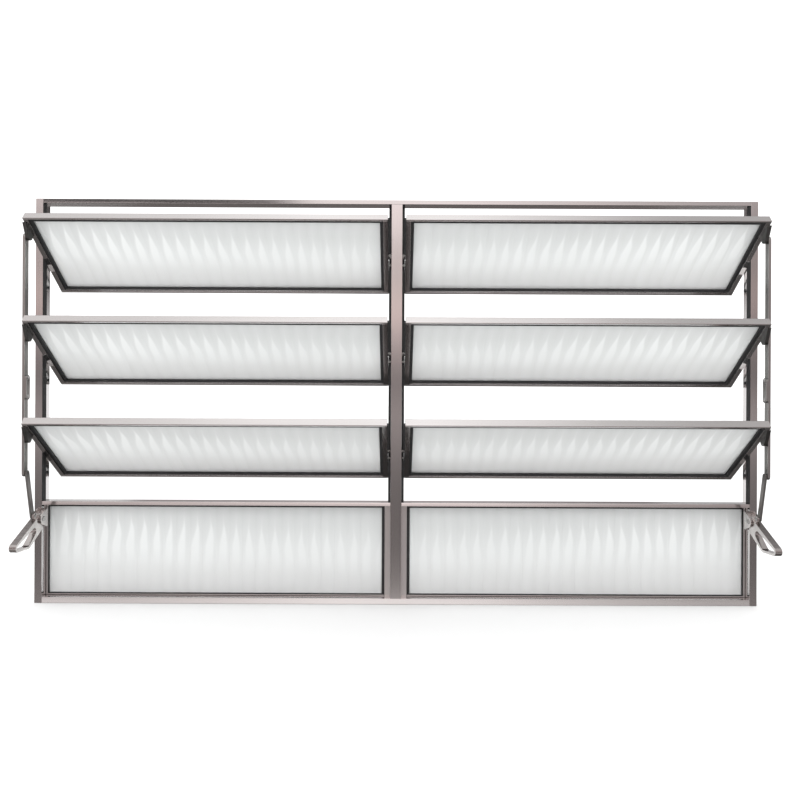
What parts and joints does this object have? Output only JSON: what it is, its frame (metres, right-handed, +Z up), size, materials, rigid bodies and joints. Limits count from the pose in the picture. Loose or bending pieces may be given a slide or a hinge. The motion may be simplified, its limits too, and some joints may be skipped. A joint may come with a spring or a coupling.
{
  "type": "pivot window",
  "caption": "Wide aluminium louvre window with tilting fluted glass sashes over fixed lights, worked by side rods and hand levers.",
  "frame": {"origin": "centre of the sill's underside, at the middle of the frame's depth", "axes": "+X to the right as seen from the room, +Y towards the outdoors, +Z up"},
  "size_m": [1, 0.1391, 0.56],
  "materials": {
    "frame_aluminium": "polished extrusion with a warm grey cast",
    "sash_aluminium": "polished extrusion",
    "fluted_glass": "clear fluted glass with a pale whitish cast",
    "black_rubber": "matt black weather strip",
    "dark_steel": "dark plated steel",
    "bright_steel": "bright plated steel",
    "cast_lever": "bright plated casting"
  },
  "bodies": {
    "root": {"head": "frame_aluminium", "sill": "frame_aluminium", "left_jamb": "frame_aluminium", "right_jamb": "frame_aluminium", "mullion": "frame_aluminium", "left_transom": "frame_aluminium", "left_fixed_glass": "fluted_glass", "left_fixed_gasket": "black_rubber", "left_fixed_stops": "frame_aluminium", "left_top_sash_frame": "sash_aluminium", "left_top_sash_glass": "fluted_glass", "left_top_sash_gasket": "black_rubber", "left_middle_sash_frame": "sash_aluminium", "left_middle_sash_glass": "fluted_glass", "left_middle_sash_gasket": "black_rubber", "left_lower_sash_frame": "sash_aluminium", "left_lower_sash_glass": "fluted_glass", "left_lower_sash_gasket": "black_rubber", "left_sash_arms": "dark_steel", "left_rod": "bright_steel", "left_link": "bright_steel", "left_lever": "cast_lever", "left_lever_base": "cast_lever", "right_transom": "frame_aluminium", "right_fixed_glass": "fluted_glass", "right_fixed_gasket": "black_rubber", "right_fixed_stops": "frame_aluminium", "right_top_sash_frame": "sash_aluminium", "right_top_sash_glass": "fluted_glass", "right_top_sash_gasket": "black_rubber", "right_middle_sash_frame": "sash_aluminium", "right_middle_sash_glass": "fluted_glass", "right_middle_sash_gasket": "black_rubber", "right_lower_sash_frame": "sash_aluminium", "right_lower_sash_glass": "fluted_glass", "right_lower_sash_gasket": "black_rubber", "right_sash_arms": "dark_steel", "right_rod": "bright_steel", "right_link": "bright_steel", "right_lever": "cast_lever", "right_lever_base": "cast_lever"}
  },
  "joints": []
}
